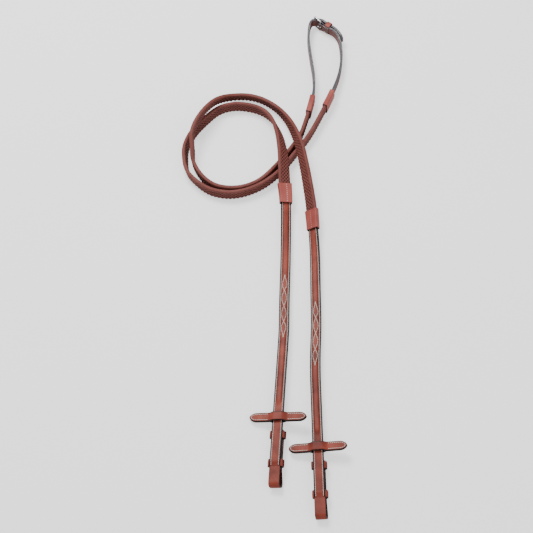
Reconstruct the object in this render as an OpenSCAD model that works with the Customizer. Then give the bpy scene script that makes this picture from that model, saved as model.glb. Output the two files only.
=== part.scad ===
// A pair of leather riding reins with rubber grips, laid out flat-side down with each grip coiled once.
// Units are millimetres. +Y runs from the bit ends to the hand buckle and +Z points up from the floor.
// Places along a rein are distances from the centre of its bit loop's fold, measured along the rein.

/* [Leather] */
// Width of the leather straps
rein_w = 16; // [12:1:20]
// Thickness of one ply of the cheek end
ply = 2; // [1.5:0.1:3]
// Thickness of the hand straps
strap_t = 4; // [3:0.5:5]
// Height of the raised middle above the flat edges
rise = 1.7; // [1:0.1:2]

/* [Bit loops] */
// Thickness of the folded billet
billet_t = 2.2; // [1.8:0.1:2.4]
// Inside radius of the fold that holds the bit ring
fold_r = 4.5; // [3.5:0.1:4.5]
// Distance over which the billet's tail closes on to the rein
tail_close = 21; // [18:1:22]
// Distance from the fold to the end of the billet's tail
tail_end = 82; // [80:1:82]
// Distance from the fold to the splice of billet and lining
splice_at = 62; // [58:1:64]
// Distance from the fold to the skived end of the rein face
face_start = 24; // [22:1:26]
// Distances from the fold to the two keepers
keeper_at = [29, 73]; // [26:1:76]
// Length of a keeper along the rein
keeper_l = 12; // [8:1:12]
// Distance from the fold to the hook stud
stud_at = 51; // [48:1:54]

/* [Rein stops] */
// Distance from the fold to the middle of the stop
stop_at = 100; // [96:1:160]
// Length of the stop across the rein
stop_l = 84; // [70:1:90]
// Width of the stop along the rein
stop_w = 14; // [12:1:14]
// Thickness of each ply of the stop
stop_ply = 2; // [1.5:0.1:2.5]

/* [Rubber grips] */
// Width of the rubber grip
grip_w = 19; // [17:0.5:20]
// Thickness of the rubber grip
grip_t = 6; // [5:0.5:6]
// Thickness of the rubber around the core
rubber_wall = 1.6; // [1.2:0.1:2]
// Distance from the fold to the middle of the join sleeve
join_at = 480; // [470:1:490]
// Distance from the fold to the middle of the grip sleeve on the left and the right rein
grip_end_at = [1195, 1242]; // [1180:1:1250]
// Length of a sleeve
sleeve_l = 34; // [28:1:36]

/* [Buckle] */
// Centre of the heel bar in plan
heel_at = [93, 427]; // [80:1:440]
// Height of the middle of the buckle
buckle_z = 12.5; // [12.5:0.5:13]
// Direction in plan from the heel bar to the front bar, in degrees
frame_turn = 130; // [128:1:132]
// Direction in plan from the heel bar along the left hand strap, in degrees
chape_turn = -35; // [-36:1:-34]
// Distance between the heel bar and the front bar
frame_l = 15; // [15:0.5:17]
// Distance between the two side bars
frame_h = 21; // [20.5:0.5:22]
// Radius of the frame's wire
wire_r = 1.5; // [1.3:0.1:1.5]
// Radius of the heel bar
heel_r = 1.75; // [1.5:0.05:1.75]
// Distances from the right hand strap's point to the middles of its holes
hole_at = [11, 32, 53]; // [9:1:60]

/* [Hidden] */
SIDES = ["left", "right"];
PIECES = ["rein_face", "rein_padding", "rein_lining", "bit_billet", "hook_stud", "stud_washer",
    "upper_keeper", "lower_keeper", "rein_stop_front", "rein_stop_back", "join_sleeve",
    "rubber_grip", "grip_core", "grip_sleeve", "hand_strap"];
BUCKLE = ["buckle_frame", "buckle_tongue", "buckle_chape", "buckle_keeper"];

$fn = 48;
LEATHER = [0.62, 0.31, 0.25];
DARK = [0.40, 0.20, 0.17];
RUBBER = [0.47, 0.27, 0.25];
STEEL = [0.75, 0.76, 0.78];
half = rein_w / 2;
bond = 0.06;                     // half the glue line between the plies
gap = 0.2;                       // room between the billet's legs and round the buckle's moving pieces
tail_top = -billet_t - gap;      // the tail's upper face where it lies on the rein
fold_z = -billet_t - fold_r;     // the fold's centre below the rein's middle plane
rib_half = 5.2;                  // half width of the raised middle
rib_shoulder = 3.2;              // where the raised middle is at 0.8 of its height
rib_start = 117;                 // where the raised middle starts, and the length it rises over
rib_ramp = 12;
skive = 7;                       // length over which the rein face is thinned at its start
butt = 1;                        // leather and rubber end this far from the middle of a sleeve
step_leather = 12;               // longest steps between the cross-sections of each swept piece
step_grip = 10;
step_strap = 9;
grip_from = join_at + butt;      // where the rubber starts on both reins
tail_lap = 9.9;                  // length of the left hand strap that lies inside the chape
point_l = 8;                     // length of the right hand strap's rounded point
tongue_h = 3;                    // width of the tongue along the heel bar
tongue_room_h = tongue_h + 1;    // height of the slots that the tongue passes through
leg_end = 18;                    // distance from the heel bar to the end of the chape's legs
keeper_from = 8.5;               // distance from the heel bar to the buckle keeper
bay = half + 0.6;                // half width of the opening in a rein stop
bay_top = ply + rise + 0.4;      // the opening's highest and lowest surfaces
bay_low = -ply - 0.4;
tail_low = tail_top - billet_t - 0.4;    // inner surface of a keeper behind the tail

// Places across the rein, the share of the rise at each, and the share of the lining's thickness
RIB_V = [-half, -rib_half, -rib_shoulder, 0, rib_shoulder, rib_half, half];
RIB_W = [0, 0, 0.8, 1, 0.8, 0, 0];
BACK_W = [0.8, 1, 1, 1, 1, 1, 0.8];
// The same for the padding, which stays inside the raised middle
PAD_V = [-4.8, -rib_shoulder, 0, rib_shoulder, 4.8];
PAD_W = [0.16, 0.8, 1, 0.8, 0.16];

// Route of each rein's middle line from the fold to its hand end: x, y, height, and the roll in degrees
// that lifts its right edge (positive) or its left edge (negative). The first eight points are straight.
LEFT = [
    [13, -387, 15, 12], [15, -357, 14.5, 12], [17, -327, 14, 12], [19, -297, 13.5, 12],
    [21, -267, 13, 12], [23, -237, 12.5, 12], [25, -207, 12, 12], [27, -177, 11.5, 12],
    [29, -141, 10.5, 11], [30, -92, 9.5, 8], [32, -25, 9, 2], [33, 37, 11, -6],
    [33, 81, 16, -14], [31, 111, 21.5, -20], [30, 138, 26.5, -28], [28, 167, 28, -42],
    [23, 200, 24, -58], [13, 231, 17, -78], [-3, 251, 12.5, -92], [-25, 261, 11, -97],
    [-50, 263, 11, -98], [-74, 255, 11, -100], [-95, 235, 11, -105], [-113, 212, 11, -110],
    [-124, 187, 11, -109], [-126, 164, 11, -107], [-121, 136, 10.5, -100], [-103, 114, 10, -94],
    [-82, 100, 10, -88], [-55, 95, 10, -86], [-28, 100, 10, -86], [-1, 114, 10, -87],
    [24, 137, 10, -90], [48, 170, 10, -90], [71, 205, 10, -90], [93, 250, 11.5, -90],
    [110, 290, 11.5, -90], [121, 324, 9, -90], [126, 355, 9, -90], [126, 381, 9.5, -90],
    [123, 399, 11, -90], [116, 410.9, 12.5, -90], [108, 416.5, 12.5, -90], [100, 422.1, 12.5, -90]];
RIGHT = [
    [78, -434, 15, 8], [77.5, -404, 14.5, 8], [77, -374, 14, 8], [76.5, -344, 13.5, 8],
    [76, -314, 13, 8], [75.5, -284, 12.5, 8], [75, -254, 12, 8], [74.5, -224, 11.5, 8],
    [75, -186, 10.5, 8], [77, -134, 9.5, 9], [77, -74, 9.5, 14], [77, -16, 10.5, 24],
    [75, 32, 13.5, 33], [72, 71, 18, 41], [67, 108, 23.5, 47], [62, 139, 27.5, 52],
    [56, 171, 29.5, 57], [48, 201, 25.5, 66], [36, 231, 19.5, 80], [19, 256, 14.5, 92],
    [-3, 274, 11.5, 98], [-27, 282, 11, 100], [-53, 280, 13, 100], [-77, 265, 24, 98],
    [-95, 242, 31.5, 94], [-109, 217, 32, 90], [-115, 194, 30, 84], [-114, 173, 21, 81],
    [-112, 153, 12, 84], [-99, 128, 10, 88], [-79, 110, 10, 90], [-54, 104, 10, 90],
    [-28, 108, 10, 90], [-5, 121, 10, 90], [18, 146, 10, 90], [39, 175, 10, 90],
    [56, 203, 10, 90], [65, 229, 11, 90], [74, 263, 11.6, 90], [80, 296, 9, 90],
    [80, 326, 9, 90], [76, 361, 9, 90], [73, 392, 9.5, 90], [73, 411, 10.5, 90],
    [75, 425, 12.5, 90], [79, 433, 12.5, 90], [84.5, 434.4, 12.5, 90], [90, 435, 12.5, 90],
    [97, 433, 12.5, 90], [107, 424, 12.5, 90], [116, 417.5, 12.5, 90], [124, 407, 12.5, 90],
    [129, 396, 12.5, 90]];
ROUTES = [LEFT, RIGHT];

// --- Sweeping a section along a rein ---
function xyz(p) = [p[0], p[1], p[2]];
function unit(v) = v / norm(v);
function blend(p, q, r, s, t) =
    (2*q + (r - p)*t + (2*p - 5*q + 4*r - s)*t*t + (3*q - p - 3*r + s)*t*t*t) / 2;
// Point u of a route's smooth curve, where whole numbers are its own points
function at(route, u) =
    let (last = len(route) - 2, i = min(max(floor(u), 0), last), q = route[i], r = route[i + 1])
    let (p = i == 0 ? 2*q - r : route[i - 1], s = i == last ? 2*r - q : route[i + 2])
    blend(p, q, r, s, u - i);
// Middle, direction across, direction along and face normal of the rein at point u
function place(route, u) =
    let (p = at(route, u), along = unit(xyz(at(route, u + 0.01)) - xyz(at(route, u - 0.01))))
    let (side = unit(cross(along, [0, 0, 1])), up = cross(side, along), roll = p[3])
    [xyz(p), cos(roll)*side + sin(roll)*up, along, cos(roll)*up - sin(roll)*side];
// Pairs of distance along the route and point u, for lookup()
function distances(route, cuts = 8) =
    let (n = (len(route) - 1) * cuts, p = [for (i = [0:n]) xyz(at(route, i / cuts))])
    [for (i = 0, d = 0; i <= n; d = d + (i < n ? norm(p[i + 1] - p[i]) : 0), i = i + 1) [d, i / cuts]];
TABLES = [for (route = ROUTES) distances(route)];
function frame_at(side, d) = place(ROUTES[side], lookup(d, TABLES[side]));
function end_of(side) = TABLES[side][len(TABLES[side]) - 1][0];
function steps(from, to, step) =
    let (n = ceil((to - from) / step)) [for (i = [0:n]) from + (to - from) * i / n];
function ring(f, section) = [for (q = section) f[0] + q[0]*f[1] + q[1]*f[3]];

// Side faces between rings that start at point `first`, m points each; reversed for an inner skin
function skin(first, m, rings, inner = false) =
    [for (i = [0:rings - 2]) for (j = [0:m - 1])
        let (a = first + i*m + j, b = first + i*m + (j + 1) % m, c = b + m, d = a + m)
        each inner ? [[c, b, a], [d, c, a]] : [[a, b, c], [a, c, d]]];
// Faces that close one ring, as strips between its lower and its upper row
function cap(first, m, start) =
    [for (j = [0:m/2 - 2])
        let (a = first + j, b = first + j + 1, c = first + m - 2 - j, d = first + m - 1 - j)
        start ? [d, c, b, a] : [a, b, c, d]];
// Faces that close the end of a tube, between its outer ring and its inner ring
function rim(outer, inner, m, start) =
    [for (j = [0:m - 1])
        let (a = outer + j, b = outer + (j + 1) % m, c = inner + (j + 1) % m, d = inner + j)
        start ? [d, c, b, a] : [a, b, c, d]];

// A section lists its lower row from left to right, then its upper row from right to left.
module sweep(side, stops, section) {
    m = len(section(stops[0]));
    n = len(stops);
    polyhedron(
        [for (d = stops) each ring(frame_at(side, d), section(d))],
        concat(skin(0, m, n), cap(0, m, true), cap((n - 1)*m, m, false)));
}

module sweep_tube(side, stops, outer, inner) {
    m = len(outer(stops[0]));
    n = len(stops);
    polyhedron(
        [for (section = [outer, inner]) for (d = stops) each ring(frame_at(side, d), section(d))],
        concat(skin(0, m, n), skin(n*m, m, n, true), rim(0, n*m, m, true),
            rim((n - 1)*m, (2*n - 1)*m, m, false)));
}

// Places children on the rein: x across it, y along it, z out of its face
module on_rein(side, d) {
    f = frame_at(side, d);
    multmatrix([for (i = [0:2]) [f[1][i], f[2][i], f[3][i], f[0][i]]]) children();
}

// Extrudes a profile drawn along and out of the rein over a width across it
module across(width) rotate([90, 0, 90]) linear_extrude(width, center = true) children();
// Extrudes a profile drawn across and out of the rein over a length along it
module along(length) rotate([90, 0, 0]) linear_extrude(length, center = true) children();

// A flat section with bevelled corners
function flat_section(width, low, high, bevel) =
    let (w = width / 2, b = bevel)
    [[-w, low + b], [-w + b, low], [w - b, low], [w, low + b],
     [w, high - b], [w - b, high], [-w + b, high], [-w, high - b]];

function ease(x) = let (c = min(max(x, 0), 1)) c*c*(3 - 2*c);
function mix(a, b, x) = a + (b - a) * x;

// --- Cheek end ---
function rib_height(d) = rise * ease((d - rib_start) / rib_ramp);
function leather_stops(from) =
    concat([from], [for (d = steps(face_start, join_at - butt, step_leather)) if (d > from + 2) d]);
function face_section(d) =
    let (r = rib_height(d), t = ply * mix(0.2, 1, ease((d - face_start) / skive)), edge = 0.8)
    concat(
        [for (i = [0:6]) [RIB_V[i], RIB_W[i]*r + bond]],
        [for (i = [6:-1:0]) [RIB_V[i], RIB_W[i]*r + (i == 0 || i == 6 ? t*edge : t)]]);
function padding_section(d) =
    let (r = rib_height(d))
    concat([for (v = PAD_V) [v, bond]], [for (i = [4:-1:0]) [PAD_V[i], PAD_W[i]*r]]);
function lining_section(d) =
    concat([for (i = [0:6]) [RIB_V[i], -ply*BACK_W[i]]], [for (i = [6:-1:0]) [RIB_V[i], -bond]]);

module rein_face(side) color(LEATHER)
    sweep(side, leather_stops(face_start), function (d) face_section(d));

module rein_padding(side) color(DARK)
    sweep(side, [for (d = leather_stops(face_start)) if (rib_height(d) > 0.3) d],
        function (d) padding_section(d));

module rein_lining(side) color(DARK)
    sweep(side, leather_stops(splice_at), function (d) lining_section(d));

// The billet runs under the rein face, round the bit ring and back to its tail
module bit_billet(side) color(LEATHER) on_rein(side, 0) difference() {
    across(rein_w) polygon(billet_outline());
    translate([0, 0, fold_z]) rotate([0, 90, 0]) cylinder(h = rein_w + 2, r = fold_r, center = true);
    translate([0, stud_at, -0.8]) cylinder(h = 2, r = 4);
    translate([0, stud_at, -billet_t - 1]) cylinder(h = 4, r = 1.55);
    translate([-2.5, stud_at - 3, tail_top - billet_t - 1]) cube([5, 7, billet_t + 1.1]);
}

function fold_arc(r, from, to) =
    [for (a = [from:sign(to - from)*10:to]) [0, fold_z] + r*[cos(a), sin(a)]];
// Upper face of the tail, from under the fold to where it lies on the rein
function tail_face() = [for (i = [0:10]) let (x = i / 10)
    [tail_close * x, mix(fold_z - fold_r, tail_top, ease(x))]];
function billet_outline() =
    let (face = tail_face(), n = len(face) - 1)
    concat([[splice_at, 0]], fold_arc(fold_r + billet_t, 90, 270),
        [for (i = [1:n]) face[i] - [0, billet_t]],
        [[tail_end, tail_top - billet_t], [tail_end, tail_top]],
        [for (i = [n:-1:0]) face[i]], fold_arc(fold_r - 0.05, 260, 100),
        [[0, -billet_t], [splice_at, -billet_t]]);

module hook_stud(side) color(STEEL) on_rein(side, stud_at) {
    translate([0, 0, -6.2]) cylinder(h = 5.4, r = 1.5);
    translate([-2, -2, -7.4]) cube([4, 12, 1.2]);
    translate([-2, 8.8, -7.4]) cube([4, 1.2, 2.1]);
}

module stud_washer(side) color(STEEL) on_rein(side, stud_at)
    translate([0, 0, -0.75]) cylinder(h = 0.7, r = 3.9);

// A keeper is sewn to both edges of the rein and runs round the back of the tail
module keeper(side, d) color(DARK) on_rein(side, d) along(keeper_l) difference() {
    keeper_outline(half + 3.2, 0.9, tail_low - 2.4);
    translate([-half, -ply]) square([rein_w, ply + 2]);
    translate([-half - 0.3, tail_low]) square([rein_w + 0.6, -ply - tail_low]);
}

module keeper_outline(w, high, low) polygon([[-w, low + 2], [-w + 2, low], [w - 2, low],
    [w, low + 2], [w, high - 1.5], [w - 1.5, high], [-w + 1.5, high], [-w, high - 1.5]]);

module upper_keeper(side) keeper(side, keeper_at[1]);
module lower_keeper(side) keeper(side, keeper_at[0]);

// --- Rein stop ---
module stop_plan() {
    point = stop_w * 0.6;
    w = stop_l / 2;
    b = stop_w / 2;
    polygon([[-w, 0], [-w + 2.5, -b*0.55], [-w + point, -b], [w - point, -b], [w - 2.5, -b*0.55],
        [w, 0], [w - 2.5, b*0.55], [w - point, b], [-w + point, b], [-w + 2.5, b*0.55]]);
}

module stop_ply_shape(outline) intersection() {
    translate([0, 0, -20]) linear_extrude(40) stop_plan();
    along(stop_w + 2) polygon(outline);
}

module rein_stop_front(side) color(LEATHER) on_rein(side, stop_at) let (w = stop_l / 2 + 1, t = stop_ply)
    stop_ply_shape([[-w, 0], [-bay, 0], [-bay, ply + 0.5], [-5.2, bay_top], [5.2, bay_top],
        [bay, ply + 0.5], [bay, 0], [w, 0], [w, t], [bay + 3.4, t], [bay + 1.6, ply + 2],
        [5.8, bay_top + t], [-5.8, bay_top + t], [-bay - 1.6, ply + 2], [-bay - 3.4, t], [-w, t]]);

module rein_stop_back(side) color(DARK) on_rein(side, stop_at) let (w = stop_l / 2 + 1, t = stop_ply)
    stop_ply_shape([[-w, 0], [-w, -t], [-bay - 2.6, -t], [-bay - 1.2, bay_low - t],
        [bay + 1.2, bay_low - t], [bay + 2.6, -t], [w, -t], [w, 0], [bay, 0], [bay, bay_low],
        [-bay, bay_low], [-bay, 0]]);

// --- Sleeves, grip and hand straps ---
function grip_to(side) = grip_end_at[side] - butt;
function strap_from(side) = grip_end_at[side] + butt;

function sleeve_stops(middle) = let (e = sleeve_l / 2)
    [middle - e, middle - e/2, middle - 0.5, middle + 0.5, middle + e/2, middle + e];
// Sleeves are widest over the rubber; x is 0 at the leather's end and 1 at the rubber's end
function sleeve_outer(x, high) = flat_section(mix(19.6, 22.4, x), -4.4, high, 1.6);
function leather_bore(high, low) = flat_section(rein_w + 0.4, low, high, 0.3);
function rubber_bore() = flat_section(grip_w + 0.4, -grip_t/2 - 0.2, grip_t/2 + 0.2, 0.3);

module join_sleeve(side) color(LEATHER)
    sweep_tube(side, sleeve_stops(join_at),
        function (d) let (x = (d - join_at) / sleeve_l + 0.5) sleeve_outer(x, mix(5.4, 4.6, x)),
        function (d) d < join_at ? leather_bore(ply + rise + 0.2, -ply - 0.2) : rubber_bore());

module grip_sleeve(side) color(LEATHER) let (middle = grip_end_at[side])
    sweep_tube(side, sleeve_stops(middle),
        function (d) sleeve_outer(0.5 - (d - middle) / sleeve_l, 4.4),
        function (d) d > middle ? leather_bore(strap_t/2 + 0.2, -strap_t/2 - 0.2) : rubber_bore());

module rubber_grip(side) color(RUBBER) let (inner_t = grip_t/2 - rubber_wall)
    sweep_tube(side, steps(grip_from, grip_to(side), step_grip),
        function (d) flat_section(grip_w, -grip_t/2, grip_t/2, 1.2),
        function (d) flat_section(grip_w - 2*rubber_wall, -inner_t, inner_t, 0.4));

module grip_core(side) color(DARK)
    sweep(side, steps(grip_from, grip_to(side), step_grip),
        function (d) let (w = grip_w/2 - rubber_wall - 0.25, h = grip_t/2 - rubber_wall - 0.25)
            [[-w, -h], [w, -h], [w, h], [-w, h]]);

module hand_strap(side) color(LEATHER)
    if (side == 0) sweep(0, strap_stops(0), function (d) left_strap_section(d));
    else difference() {
        sweep(1, strap_stops(1), function (d) right_strap_section(d));
        tongue_room();
        for (d = hole_at) on_rein(1, end_of(1) - d) cylinder(h = 10, r = 1.6, center = true, $fn = 24);
    }

function strap_stops(side) =
    let (end = end_of(side), bare = end - (side == 0 ? tail_lap : point_l))
    concat(steps(strap_from(side), bare, step_strap),
        side == 0 ? [bare + 0.4, end] : [end - point_l/2, end - 1, end]);
// The left strap is thinned where it lies between the legs of the chape
function left_strap_section(d) =
    let (thin = d > end_of(0) - tail_lap + 0.2, h = thin ? 0.9 : strap_t/2)
    flat_section(rein_w, -h, h, thin ? 0.3 : 0.5);
// The right strap ends in a rounded point
function right_strap_section(d) =
    let (x = 1 - min((end_of(1) - d) / point_l, 1))
    flat_section(rein_w * mix(0.35, 1, sqrt(1 - x*x)), -strap_t/2, strap_t/2, 0.5);

// --- Buckle ---
// Children stand on end at the heel bar, with x towards the front bar and y out of the buckle's face
module at_buckle(turn) translate([heel_at[0], heel_at[1], buckle_z]) rotate([0, 0, turn]) children();
// Turns the buckle's own y so that it points away from the hand loop
module buckle_side() at_buckle(frame_turn) mirror([0, 1, 0]) children();

module buckle_frame() color(STEEL) buckle_side() {
    corner_r = 3;
    side_z = frame_h / 2;
    cylinder(h = frame_h, r = heel_r, center = true);
    translate([frame_l, 0, 0]) cylinder(h = frame_h - 2*corner_r, r = wire_r, center = true);
    for (z = [-1, 1]) {
        translate([0, 0, z*side_z]) sphere(heel_r + 0.2);
        translate([0, 0, z*side_z]) rotate([0, 90, 0]) cylinder(h = frame_l - corner_r, r = wire_r);
        translate([frame_l - corner_r, 0, z*(side_z - corner_r)]) rotate([90, z > 0 ? 0 : 90, 0])
            rotate_extrude(angle = 90) translate([corner_r, 0]) circle(wire_r);
    }
}

module buckle_tongue() color(STEEL) buckle_side() translate([0, 0, -tongue_h/2]) difference() {
    linear_extrude(tongue_h) {
        circle(3.1);
        polygon([[0, 0.6], [3, 1], [14, 1.8], [17, 1.2], [17.6, 2], [15, 3.7], [8, 3.4], [0, 3.1]]);
    }
    translate([0, 0, -1]) cylinder(h = tongue_h + 2, r = heel_r + 0.06);
}

// The room that the tongue needs to pass and turn through the right hand strap
module tongue_room() buckle_side()
    translate([0.5, 0.6, -tongue_room_h/2]) cube([18, 5.4, tongue_room_h]);

// The chape is folded round the heel bar and slotted for the tongue; its legs hold the left strap's end
module buckle_chape() color(LEATHER) at_buckle(chape_turn) difference() {
    translate([0, 0, -half + 0.2]) linear_extrude(rein_w - 0.4) difference() {
        union() {
            circle(3.4);
            translate([0, -2.4]) square([leg_end, 4.8]);
        }
        circle(heel_r + 0.15);
        translate([5.5, -1]) square([leg_end, 2]);
    }
    translate([-6, -6, -tongue_room_h/2]) cube([10.5, 12, tongue_room_h]);
}

// Its legs are sewn to the edges of the chape and its middle runs over the right hand strap
module buckle_keeper() color(LEATHER) at_buckle(chape_turn) translate([keeper_from, 0, 0])
    rotate([90, 0, 90]) linear_extrude(9) difference() {
        translate([-2.4, -half - 2.2]) square([12.6, rein_w + 4.4]);
        translate([-3, -half - 0.3]) square([11.4, rein_w + 0.6]);
    }

module sub_part(side, piece) {
    if (piece == "rein_face") rein_face(side);
    if (piece == "rein_padding") rein_padding(side);
    if (piece == "rein_lining") rein_lining(side);
    if (piece == "bit_billet") bit_billet(side);
    if (piece == "hook_stud") hook_stud(side);
    if (piece == "stud_washer") stud_washer(side);
    if (piece == "upper_keeper") upper_keeper(side);
    if (piece == "lower_keeper") lower_keeper(side);
    if (piece == "rein_stop_front") rein_stop_front(side);
    if (piece == "rein_stop_back") rein_stop_back(side);
    if (piece == "join_sleeve") join_sleeve(side);
    if (piece == "rubber_grip") rubber_grip(side);
    if (piece == "grip_core") grip_core(side);
    if (piece == "grip_sleeve") grip_sleeve(side);
    if (piece == "hand_strap") hand_strap(side);
}

for (side = [0, 1]) for (piece = PIECES)
    sub_part(side, piece);
buckle_frame();
buckle_tongue();
buckle_chape();
buckle_keeper();
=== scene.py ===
import math

import bmesh
import bpy
import numpy as np
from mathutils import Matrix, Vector


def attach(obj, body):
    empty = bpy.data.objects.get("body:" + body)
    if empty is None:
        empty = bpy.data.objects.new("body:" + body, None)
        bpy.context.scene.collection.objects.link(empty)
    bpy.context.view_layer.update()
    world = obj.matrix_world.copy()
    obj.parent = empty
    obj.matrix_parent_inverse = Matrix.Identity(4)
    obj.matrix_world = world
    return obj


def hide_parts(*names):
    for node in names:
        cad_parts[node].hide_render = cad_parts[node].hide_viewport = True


# A pair of leather riding reins with rubber grips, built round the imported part.
# Shapes are worked out in millimetres and turned into metres where each mesh is made.
# A place on a rein is given as: distance from its bit fold, across it, and out of its face.

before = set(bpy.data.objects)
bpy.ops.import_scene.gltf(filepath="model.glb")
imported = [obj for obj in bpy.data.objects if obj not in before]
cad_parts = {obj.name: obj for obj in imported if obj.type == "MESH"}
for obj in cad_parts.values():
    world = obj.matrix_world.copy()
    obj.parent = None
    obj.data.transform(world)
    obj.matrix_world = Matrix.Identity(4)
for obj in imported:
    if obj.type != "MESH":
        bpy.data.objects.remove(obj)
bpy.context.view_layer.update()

MM = 0.001
SIDES = ("left", "right")

# Sizes that repeat part.scad
REIN_W = 16
PLY = 2
BOND = 0.06
RISE = 1.7
RIB_START = 117
RIB_RAMP = 12
STRAP_T = 4
BILLET_T = 2.2
FOLD_R = 4.5
FOLD_Z = -BILLET_T - FOLD_R
TAIL_CLOSE = 21
TAIL_END = 82
TAIL_TOP = -BILLET_T - 0.2
SPLICE_AT = 62
FACE_START = 24
KEEPER_AT = {"upper": 73, "lower": 29}
KEEPER_L = 12
STUD_AT = 51
STOP_AT = 100
STOP_HALF = 42
STOP_W = 14
STOP_PLY = 2
GRIP_W = 19
GRIP_T = 6
JOIN_AT = 480
GRIP_END_AT = {"left": 1195, "right": 1242}
SLEEVE_L = 34
BUTT = 1
TAIL_LAP = 9.9
HEEL_AT = (93, 427)
BUCKLE_Z = 12.5
FRAME_TURN = 130
CHAPE_TURN = -35
FRAME_L = 15
FRAME_H = 21
WIRE_R = 1.5
HEEL_R = 1.75
CHAPE_L = 18
CHAPE_MID = 1.7
CHAPE_T = 1.4
TIP_L = 9
HOLES = (11, 32, 53)
HOLE_R = 1.6

# Route of each rein's middle line, as in part.scad: x, y, height and roll in degrees
ROUTES = {
    "left": [
        (13, -387, 15, 12), (15, -357, 14.5, 12), (17, -327, 14, 12), (19, -297, 13.5, 12),
        (21, -267, 13, 12), (23, -237, 12.5, 12), (25, -207, 12, 12), (27, -177, 11.5, 12),
        (29, -141, 10.5, 11), (30, -92, 9.5, 8), (32, -25, 9, 2), (33, 37, 11, -6),
        (33, 81, 16, -14), (31, 111, 21.5, -20), (30, 138, 26.5, -28), (28, 167, 28, -42),
        (23, 200, 24, -58), (13, 231, 17, -78), (-3, 251, 12.5, -92), (-25, 261, 11, -97),
        (-50, 263, 11, -98), (-74, 255, 11, -100), (-95, 235, 11, -105), (-113, 212, 11, -110),
        (-124, 187, 11, -109), (-126, 164, 11, -107), (-121, 136, 10.5, -100), (-103, 114, 10, -94),
        (-82, 100, 10, -88), (-55, 95, 10, -86), (-28, 100, 10, -86), (-1, 114, 10, -87),
        (24, 137, 10, -90), (48, 170, 10, -90), (71, 205, 10, -90), (93, 250, 11.5, -90),
        (110, 290, 11.5, -90), (121, 324, 9, -90), (126, 355, 9, -90), (126, 381, 9.5, -90),
        (123, 399, 11, -90), (116, 410.9, 12.5, -90), (108, 416.5, 12.5, -90), (100, 422.1, 12.5, -90),
    ],
    "right": [
        (78, -434, 15, 8), (77.5, -404, 14.5, 8), (77, -374, 14, 8), (76.5, -344, 13.5, 8),
        (76, -314, 13, 8), (75.5, -284, 12.5, 8), (75, -254, 12, 8), (74.5, -224, 11.5, 8),
        (75, -186, 10.5, 8), (77, -134, 9.5, 9), (77, -74, 9.5, 14), (77, -16, 10.5, 24),
        (75, 32, 13.5, 33), (72, 71, 18, 41), (67, 108, 23.5, 47), (62, 139, 27.5, 52),
        (56, 171, 29.5, 57), (48, 201, 25.5, 66), (36, 231, 19.5, 80), (19, 256, 14.5, 92),
        (-3, 274, 11.5, 98), (-27, 282, 11, 100), (-53, 280, 13, 100), (-77, 265, 24, 98),
        (-95, 242, 31.5, 94), (-109, 217, 32, 90), (-115, 194, 30, 84), (-114, 173, 21, 81),
        (-112, 153, 12, 84), (-99, 128, 10, 88), (-79, 110, 10, 90), (-54, 104, 10, 90),
        (-28, 108, 10, 90), (-5, 121, 10, 90), (18, 146, 10, 90), (39, 175, 10, 90),
        (56, 203, 10, 90), (65, 229, 11, 90), (74, 263, 11.6, 90), (80, 296, 9, 90),
        (80, 326, 9, 90), (76, 361, 9, 90), (73, 392, 9.5, 90), (73, 411, 10.5, 90),
        (75, 425, 12.5, 90), (79, 433, 12.5, 90), (84.5, 434.4, 12.5, 90), (90, 435, 12.5, 90),
        (97, 433, 12.5, 90), (107, 424, 12.5, 90), (116, 417.5, 12.5, 90), (124, 407, 12.5, 90),
        (129, 396, 12.5, 90),
    ],
}


def new_object(name, data):
    """An object with that data, linked to the scene."""
    made = bpy.data.objects.new(name, data)
    bpy.context.scene.collection.objects.link(made)
    return made


# --- Camera and light ---
def make_camera(aim, elevation, distance, lens):
    """A camera in front of the part, aimed at a point from that elevation in degrees."""
    camera = new_object("camera", bpy.data.cameras.new("camera"))
    tilt = math.radians(elevation)
    back = Vector((0, -math.cos(tilt), math.sin(tilt)))
    camera.location = Vector(aim) + back * distance
    camera.rotation_euler = back.to_track_quat("Z", "Y").to_euler()
    camera.data.sensor_width = 36
    camera.data.lens = lens
    bpy.context.scene.camera = camera


def make_area_light(name, place, target, size, watts):
    """A soft round light at place, turned to target."""
    data = bpy.data.lights.new(name, "AREA")
    data.shape = "DISK"
    data.size = size
    data.energy = watts
    light = new_object(name, data)
    light.location = place
    light.rotation_euler = (Vector(place) - Vector(target)).to_track_quat("Z", "Y").to_euler()


def make_world(strength):
    """Even white light from all sides."""
    world = bpy.data.worlds.new("studio")
    world.use_nodes = True
    background = world.node_tree.nodes["Background"]
    background.inputs["Color"].default_value = (1, 1, 1, 1)
    background.inputs["Strength"].default_value = strength
    bpy.context.scene.world = world


make_camera(aim=(0.003, -0.029, 0), elevation=60, distance=2.4, lens=105.97)
make_world(0.5)
make_area_light("key", (-0.55, 1.0, 1.7), (0, 0.05, 0), 0.9, 34)
make_area_light("fill", (1.2, -1.0, 1.5), (0, 0, 0), 1.6, 6)


# --- Materials ---
def srgb(code):
    """Linear colour of a six-digit sRGB code."""
    parts = [int(code[i:i + 2], 16) / 255 for i in (0, 2, 4)]
    return tuple(c / 12.92 if c < 0.04045 else ((c + 0.055) / 1.055) ** 2.4 for c in parts) + (1,)


def feed(tree, node, inputs):
    """Gives each input socket its value, or links it to the output that feeds it."""
    for key, value in inputs.items():
        if isinstance(value, bpy.types.NodeSocket):
            tree.links.new(value, node.inputs[key])
        else:
            node.inputs[key].default_value = value


def add(tree, kind, inputs=None, **settings):
    """A new node with its settings and inputs."""
    node = tree.nodes.new(kind)
    for key, value in settings.items():
        setattr(node, key, value)
    feed(tree, node, inputs or {})
    return node


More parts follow.
